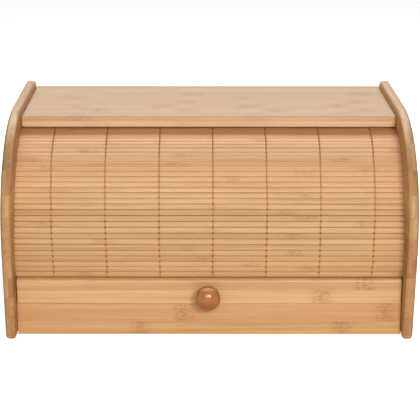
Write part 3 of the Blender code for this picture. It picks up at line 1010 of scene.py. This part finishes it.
# %% Copy the stitches into seven rows
THREAD_ROWS = 7
ROW_SPACING = 0.0522
ROW_SHIFT = 0.0036
ROW_FAN = 0.02
THREAD_WANDER = 0.0011
row_texture = bpy.data.textures.new("thread_wander", "CLOUDS")
row_texture.noise_scale = 0.05
row_texture.noise_depth = 1
stitches = []
for i in range(len(slat_names)):
    stitches.append(copy_piece(stitch, f"stitch_{i}", about_axis(first_angle + slat_step * i)))
row_pattern = join(stitches, "row_pattern")
for row in range(THREAD_ROWS):
    row_x = ROW_SHIFT + ROW_SPACING * (row - (THREAD_ROWS - 1) / 2)
    thread = copy_piece(row_pattern, f"thread_row_{row + 1}", Matrix.Translation((row_x, 0, 0)))
    for vertex in thread.data.vertices:
        vertex.co.x += row_x * ROW_FAN * (vertex.co.z - axis.z) / slat_outer
    wander = thread.modifiers.new("wander", "DISPLACE")
    wander.texture = row_texture
    wander.texture_coords = "GLOBAL"
    wander.direction = "X"
    wander.strength = THREAD_WANDER
    apply_modifiers(thread)
    dress(thread, thread_material, "curtain", smooth_deg=60)
bpy.data.objects.remove(stitch)
bpy.data.objects.remove(row_pattern)
print("thread rows:", THREAD_ROWS)

# %% [markdown]
# The cloth is one strip of canvas, glued to the backs of the slats. It starts as a single edge along its
# lower hem. Spin sweeps the edge round the track, with a few steps for each slat, and Solidify gives it
# the thickness of canvas. A flat sheet could be bent with a modifier, but the spin follows the track exactly.

# %% Cloth
CLOTH_THICKNESS = 0.0006
CLOTH_BEHIND_SLATS = 0.0005
CLOTH_RIPPLE = 0.0002
CLOTH_CUTS = 60
STEPS_PER_SLAT = 4
cloth_low, cloth_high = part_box("backing_cloth")
cloth_width = cloth_high.x - cloth_low.x
cloth_radius = slat_outer - slat_thickness - CLOTH_BEHIND_SLATS
cloth_points = [track_angle(vertex.co) for vertex in nodes["backing_cloth"].data.vertices]
cloth_start, cloth_end = min(cloth_points), max(cloth_points)
start()
bpy.ops.mesh.primitive_plane_add(size=cloth_width, location=(0, 0, 0))
cloth = bpy.context.object
cloth.name = "canvas_backing"
shape = edit(cloth)
bpy.ops.mesh.select_all(action="DESELECT")
for vertex in shape.verts:
    vertex.select = vertex.co.y > 0
bmesh.update_edit_mesh(cloth.data)
bpy.ops.mesh.delete(type="VERT")
shape = edit(cloth)
for vertex in shape.verts:
    vertex.co.y = axis.y - cloth_radius * cos(cloth_start)
    vertex.co.z = axis.z + cloth_radius * sin(cloth_start)
bmesh.update_edit_mesh(cloth.data)
bpy.ops.mesh.select_all(action="SELECT")
bpy.ops.mesh.subdivide(number_cuts=CLOTH_CUTS)
bpy.ops.mesh.select_all(action="SELECT")
spin_steps = STEPS_PER_SLAT * len(slat_names)
bpy.ops.mesh.spin(steps=spin_steps, angle=cloth_end - cloth_start, center=axis, axis=(1, 0, 0))
start()
ripple_texture = bpy.data.textures.new("cloth_ripple", "CLOUDS")
ripple_texture.noise_scale = 0.02
ripple = cloth.modifiers.new("ripple", "DISPLACE")
ripple.texture = ripple_texture
ripple.texture_coords = "GLOBAL"
ripple.strength = CLOTH_RIPPLE
thicken = cloth.modifiers.new("thicken", "SOLIDIFY")
thicken.thickness = CLOTH_THICKNESS
thicken.offset = 0
apply_modifiers(cloth)
dress(cloth, canvas_material, "curtain", smooth_deg=60)
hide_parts("backing_cloth")

# %% [markdown]
# The knob is turned from a dark reddish wood. Its profile could be spun round its axis, but its front is a
# flattened ball, so it starts as one. The ball is flattened, its back is cut off, and the open ring is
# extruded and scaled, step by step, into the neck and the foot. The rail leans, and the knob stands square
# on it.

# %% Knob
KNOB_DOME = 0.0092
KNOB_UNDER = 0.0098
KNOB_LENGTH = 0.0240
KNOB_FOOT_RADIUS = 0.0076
TURNED_LINE_AT = 0.83
TURNED_LINE_REACH = 0.03
TURNED_LINE_DEPTH = 0.0002
FLARE_STEPS = 6
knob_low, knob_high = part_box("knob")
knob_radius = (knob_high.x - knob_low.x) / 2
knob_x = (knob_high.x + knob_low.x) / 2
rail_faces = nodes["lift_rail"].data.polygons
rail_front = max(rail_faces, key=lambda face: face.area * (face.normal.y < -0.5)).normal
rail_lean = atan2(rail_front.z, -rail_front.y)
print("rail leans", round(degrees(rail_lean), 2), "degrees; knob is", round(knob_radius * 2000, 1), "mm wide")

start()
bpy.ops.mesh.primitive_uv_sphere_add(segments=48, ring_count=32, radius=knob_radius)
knob = bpy.context.object
knob.name = "turned_knob"
shape = edit(knob)
neck_radius = knob_radius / 2
# At 60 degrees down, a ball has narrowed to half its width
under_height = KNOB_UNDER / sin(pi / 3)
for vertex in shape.verts:
    vertex.co.z *= (KNOB_DOME if vertex.co.z > 0 else under_height) / knob_radius
bmesh.update_edit_mesh(knob.data)
for vertex in shape.verts:
    off_line = abs(vertex.co.xy.length / knob_radius - TURNED_LINE_AT)
    if vertex.co.z > 0 and off_line < TURNED_LINE_REACH:
        vertex.co.z -= TURNED_LINE_DEPTH
bmesh.update_edit_mesh(knob.data)
bpy.ops.mesh.select_all(action="SELECT")
bpy.ops.mesh.bisect(plane_co=(0, 0, -KNOB_UNDER), plane_no=(0, 0, -1), clear_outer=True)
foot_drop = KNOB_LENGTH - KNOB_DOME - KNOB_UNDER
ring_radius = neck_radius
for i in range(1, FLARE_STEPS + 1):
    angle = pi / 2 * i / FLARE_STEPS
    next_radius = KNOB_FOOT_RADIUS - (KNOB_FOOT_RADIUS - neck_radius) * cos(angle)
    drop = foot_drop * (sin(angle) - sin(angle - pi / 2 / FLARE_STEPS))
    bpy.ops.mesh.extrude_region_move(TRANSFORM_OT_translate={"value": (0, 0, -drop)})
    bpy.ops.transform.resize(value=(next_radius / ring_radius, next_radius / ring_radius, 1))
    ring_radius = next_radius
bpy.ops.mesh.edge_face_add()
bpy.ops.mesh.select_all(action="SELECT")
bpy.ops.mesh.normals_make_consistent(inside=False)
start()
out_of_rail = Matrix.Rotation(pi / 2 + rail_lean, 4, "X")
reach = max(-(out_of_rail @ vertex.co).y for vertex in knob.data.vertices)
drop = min((out_of_rail @ vertex.co).z for vertex in knob.data.vertices)
knob_centre = Vector((knob_x, knob_low.y + reach, knob_low.z - drop))
knob.matrix_world = Matrix.Translation(knob_centre) @ out_of_rail
apply_place(knob)
print("knob placed at", [round(value * 1000, 1) for value in knob_centre])

# %% [markdown]
# The knob's wood is stained and lacquered. A pale band along its upper side is a painted highlight, and
# a dark line lies over that, in the rim. Its underside is darker, and has little lacquer. The rim is found
# by its distance from the knob's own axis, and the rest by how far the surface faces up. A picture could be
# painted for this, but it would fit only this one knob.

# %% Knob lacquer
STAIN_LIGHT = swatch(192, 114, 46)
STAIN_DARK = swatch(146, 76, 20)
PORE_COLOUR = swatch(96, 48, 22)
PORE_SHARE = 0.35
# Painted highlight along the knob's upper side
TOP_HIGHLIGHT_COLOUR = swatch(234, 184, 120)
RIM_COLOUR = swatch(128, 72, 22)
UNDERSIDE_COLOUR = swatch(118, 64, 18)
LACQUER_TINT = swatch(255, 196, 160)
KNOB_GRAIN = (900.0, 60.0, 300.0)
KNOB_PORES = (1500.0, 120.0, 900.0)
knob_axis = out_of_rail @ Vector((0, 0, 1))


def make_knob_material():
    made, tree, shader = new_material("knob_lacquer")
    place = object_place(tree)
    grain = noise(tree, place, KNOB_GRAIN, 3.0, 0.6)
    pores = fade(tree, noise(tree, place, KNOB_PORES, 1.0), 0.60, 0.72)
    # Painted highlight where the knob faces up
    painted_top_highlight = fade(tree, facing_up(tree), 0.60, 0.88, 0.0, 0.8)
    from_centre = calc_vector(tree, "SUBTRACT", place, knob_centre)
    across = calc_vector(tree, "CROSS_PRODUCT", from_centre, knob_axis)
    length = add_node(tree, "ShaderNodeVectorMath", {"Vector": across}, operation="LENGTH")
    rim = fade(tree, length.outputs["Value"], knob_radius * 0.91, knob_radius * 0.97, 0.0, 0.75)
    upper_rim = calc(tree, "MULTIPLY", rim, fade(tree, facing_up(tree), 0.58, 0.84))
    underside = fade(tree, facing_up(tree), 0.0, -0.6, 0.0, 0.35)
    colour = blend_colour(tree, grain, STAIN_LIGHT, STAIN_DARK)
    for share, own_colour in (
        (calc(tree, "MULTIPLY", pores, PORE_SHARE), PORE_COLOUR),
        (painted_top_highlight, TOP_HIGHLIGHT_COLOUR),
        (upper_rim, RIM_COLOUR),
        (underside, UNDERSIDE_COLOUR),
    ):
        colour = blend_colour(tree, share, colour, own_colour)
    feed(tree, colour, shader.inputs["Base Color"])
    feed(tree, calc(tree, "ADD", 0.34, calc(tree, "MULTIPLY", grain, 0.16)), shader.inputs["Roughness"])
    add_relief(tree, shader, grain, 0.00008, 0.6)
    shader.inputs["Specular IOR Level"].default_value = 0.6
    shader.inputs["Specular Tint"].default_value = LACQUER_TINT
    feed(tree, fade(tree, facing_up(tree), -0.4, 0.2, 0.1, 0.95), shader.inputs["Coat Weight"])
    shader.inputs["Coat Roughness"].default_value = 0.20
    return made


dress(knob, make_knob_material(), "curtain", smooth_deg=60)
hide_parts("knob")
print("knob lacquer has", len(knob.data.materials[0].node_tree.nodes), "nodes")

# %% [markdown]
# The screws have a cross recess. A screw starts as a cylinder, its head. The cylinder's inner end is drawn
# in to the shank, as a cone on a countersunk screw and as a step on the knob's screw, and is extruded to the
# tip. Two crossed wedges cut the recess. A texture could draw it, but a cut one catches the light.

# %% Model a screw
HEAD_HEIGHT = 0.0022
RECESS_DEPTH = 0.0016
RECESS_LENGTH_SHARE = 1.1
RECESS_WIDTH_SHARE = 0.26
RECESS_TAPER = 0.45
TIP_SHARE = 0.15


def make_screw(name, radius, shank_radius, length, tip_length, cone):
    """A screw whose head's face lies at the origin, pointing down."""
    start()
    bpy.ops.mesh.primitive_cylinder_add(
        vertices=32, radius=radius, depth=HEAD_HEIGHT, location=(0, 0, -HEAD_HEIGHT / 2)
    )
    screw = bpy.context.object
    screw.name = name
    apply_place(screw)
    shape = edit(screw)
    bpy.ops.mesh.select_all(action="DESELECT")
    for face in shape.faces:
        face.select = face.normal.z < -0.9
    bmesh.update_edit_mesh(screw.data)
    shrink = shank_radius / radius
    if cone:
        bpy.ops.transform.resize(value=(shrink, shrink, 1))
    else:
        bpy.ops.mesh.inset(thickness=radius - shank_radius)
    shank = length - HEAD_HEIGHT - tip_length
    bpy.ops.mesh.extrude_region_move(TRANSFORM_OT_translate={"value": (0, 0, -shank)})
    bpy.ops.mesh.extrude_region_move(TRANSFORM_OT_translate={"value": (0, 0, -tip_length)})
    bpy.ops.transform.resize(value=(TIP_SHARE, TIP_SHARE, 1))
    start()
    for turn in (0, pi / 2):
        bpy.ops.mesh.primitive_cube_add(size=1, location=(0, 0, 0), rotation=(0, 0, turn))
        wedge = bpy.context.object
        wedge.scale = (radius * RECESS_LENGTH_SHARE, radius * RECESS_WIDTH_SHARE, 2 * RECESS_DEPTH)
        apply_place(wedge)
        shape = edit(wedge)
        for vertex in shape.verts:
            if vertex.co.z < 0:
                vertex.co.x *= RECESS_TAPER
                vertex.co.y *= RECESS_TAPER
        bmesh.update_edit_mesh(wedge.data)
        start()
        cut = screw.modifiers.new("cut", "BOOLEAN")
        cut.operation = "DIFFERENCE"
        cut.object = wedge
        apply_modifiers(screw)
        bpy.data.objects.remove(wedge)
    return screw


print("a screw's head is", round(HEAD_HEIGHT * 1000, 1), "mm high")

# %% [markdown]
# Ten countersunk screws hold the boards between the side panels. One is modelled, and its copies are turned
# differently, as screws are that were driven home by hand. Zinc plating is bright steel with a fine spangle.

# %% Wood screws
SHANK_SHARE = 0.486
TIP_LENGTH = 0.004
TURN_PER_SCREW = 0.7
ZINC_DULL = swatch(150, 148, 142)
ZINC_BRIGHT = swatch(206, 204, 198)
ZINC_SPANGLE = (900.0, 900.0, 900.0)
screw_names = sorted(name for name in nodes if name.startswith("screw_"))
screw_low, screw_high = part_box(screw_names[0])
screw_length = screw_high.x - screw_low.x
head_radius = (screw_high.z - screw_low.z) / 2


def make_steel_material():
    made, tree, shader = new_material("zinc_steel")
    spangle = noise(tree, object_place(tree), ZINC_SPANGLE, 3.0)
    feed(tree, blend_colour(tree, spangle, ZINC_DULL, ZINC_BRIGHT), shader.inputs["Base Color"])
    feed(tree, calc(tree, "ADD", 0.22, calc(tree, "MULTIPLY", spangle, 0.2)), shader.inputs["Roughness"])
    shader.inputs["Metallic"].default_value = 1.0
    return made


steel_material = make_steel_material()
shank_radius = head_radius * SHANK_SHARE
wood_screw = make_screw("screw_pattern", head_radius, shank_radius, screw_length, TIP_LENGTH, cone=True)
for i, name in enumerate(screw_names):
    low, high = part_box(name)
    outward = 1 if high.x > 0 else -1
    face_x = high.x if outward > 0 else low.x
    place = Matrix.Translation((face_x, (low.y + high.y) / 2, (low.z + high.z) / 2))
    turn = Matrix.Rotation(outward * pi / 2, 4, "Y") @ Matrix.Rotation(TURN_PER_SCREW * i, 4, "Z")
    piece = copy_piece(wood_screw, f"steel_{name}", place @ turn)
    dress(piece, steel_material, "case", smooth_deg=35)
    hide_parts(name)
bpy.data.objects.remove(wood_screw)
print("screws:", len(screw_names), "heads in mm:", round(head_radius * 2000, 1))

# %% [markdown]
# One machine screw holds the knob from behind the rail. It leans like the rail, so its length is worked out
# from the depth of its box in the CAD. The same helper makes it, and it is turned to face inwards.

# %% Knob screw
KNOB_SHANK_RADIUS = 0.002
KNOB_SCREW_TIP = 0.001
KNOB_SCREW_EXTRA = 0.0001
head_low, head_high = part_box("knob_screw")
knob_head_radius = (head_high.x - head_low.x) / 2
level_length = head_high.y - head_low.y - 2 * knob_head_radius * sin(rail_lean)
knob_screw_length = level_length / cos(rail_lean) + KNOB_SCREW_EXTRA
knob_screw = make_screw(
    "steel_knob_screw", knob_head_radius, KNOB_SHANK_RADIUS, knob_screw_length, KNOB_SCREW_TIP, cone=False
)
facing_in = Matrix.Rotation(-pi / 2 + rail_lean, 4, "X")
far = max((facing_in @ vertex.co).y for vertex in knob_screw.data.vertices)
high = max((facing_in @ vertex.co).z for vertex in knob_screw.data.vertices)
knob_screw.matrix_world = Matrix.Translation((knob_x, head_high.y - far, head_high.z - high)) @ facing_in
apply_place(knob_screw)
dress(knob_screw, steel_material, "curtain", smooth_deg=35)
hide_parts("knob_screw")
print("knob screw:", round(knob_screw_length * 1000, 1), "mm long")

# %% [markdown]
# The box stands on a plain white floor, and the surroundings that the camera sees behind it are white. The
# floor is a pale surface, so it takes the box's soft shadow. A little light of its own, which only the camera
# and reflections see, lifts it to the photograph's white. The room's light comes from all round, and least
# from the two sides, as in a narrow photo tent, so the panels' inner and outer sides are darker than the
# front.

# %% Floor and surroundings
FLOOR_SIZE = 14.0
FLOOR_COLOUR = (0.80, 0.80, 0.80, 1.0)
FLOOR_GLOW = 0.72
LIGHT_ALL_ROUND = 0.335
LIGHT_FROM_SIDES = 0.085


def seen_directly(tree):
    path = add_node(tree, "ShaderNodeLightPath").outputs
    seen = calc(tree, "MAXIMUM", path["Is Camera Ray"], path["Is Glossy Ray"])
    return calc(tree, "MAXIMUM", seen, path["Is Transmission Ray"])


start()
bpy.ops.mesh.primitive_plane_add(size=FLOOR_SIZE, location=(0, 0, cad_box[0].z))
floor = bpy.context.object
floor.name = "floor"
floor_material, tree, shader = new_material("white_floor")
shader.inputs["Base Color"].default_value = FLOOR_COLOUR
shader.inputs["Roughness"].default_value = 0.9
shader.inputs["Emission Color"].default_value = (1, 1, 1, 1)
feed(tree, calc(tree, "MULTIPLY", seen_directly(tree), FLOOR_GLOW), shader.inputs["Emission Strength"])
floor.data.materials.append(floor_material)

world = bpy.data.worlds.new("studio")
bpy.context.scene.world = world
world.use_nodes = True
tree = world.node_tree
soft = tree.nodes["Background"]
soft.inputs["Color"].default_value = (1, 1, 1, 1)
direction = add_node(tree, "ShaderNodeTexCoord").outputs["Generated"]
sideways = calc(tree, "ABSOLUTE", separate(tree, direction)["X"])
room_light = fade(tree, sideways, 0.2, 0.85, LIGHT_ALL_ROUND, LIGHT_FROM_SIDES)
backdrop_share = seen_directly(tree)
mixed = calc(tree, "MULTIPLY", room_light, calc(tree, "SUBTRACT", 1.0, backdrop_share))
feed(tree, calc(tree, "ADD", mixed, backdrop_share), soft.inputs["Strength"])
print("floor and surroundings are white")

# %% [markdown]
# Three soft lamps light it plainly. Two stand in front, a little above the camera: the brighter one on the
# right, so the right panel's inner side is in shade, and a larger, weaker one on the left. They give the
# knob its pair of highlights. One hangs high behind, and the top board keeps its light from the first slats.

# %% Lamps
middle = Vector((0.0, 0.0, box_size.z / 2))


def add_lamp(name, place, size, watts):
    data = bpy.data.lights.new(name, "AREA")
    data.shape = "RECTANGLE"
    data.size, data.size_y = size
    data.energy = watts
    lamp = bpy.data.objects.new(name, data)
    lamp.location = place
    lamp.rotation_euler = (middle - Vector(place)).to_track_quat("-Z", "Y").to_euler()
    bpy.context.scene.collection.objects.link(lamp)


add_lamp("key_lamp", place=(0.36, -1.58, 0.74), size=(0.26, 0.26), watts=11.9)
add_lamp("fill_lamp", place=(-0.22, -1.60, 0.74), size=(0.36, 0.3), watts=4.2)
add_lamp("back_lamp", place=(0.0, 0.83, 1.09), size=(1.2, 0.3), watts=13.4)
print("lamps:", [lamp.name for lamp in bpy.data.lights])
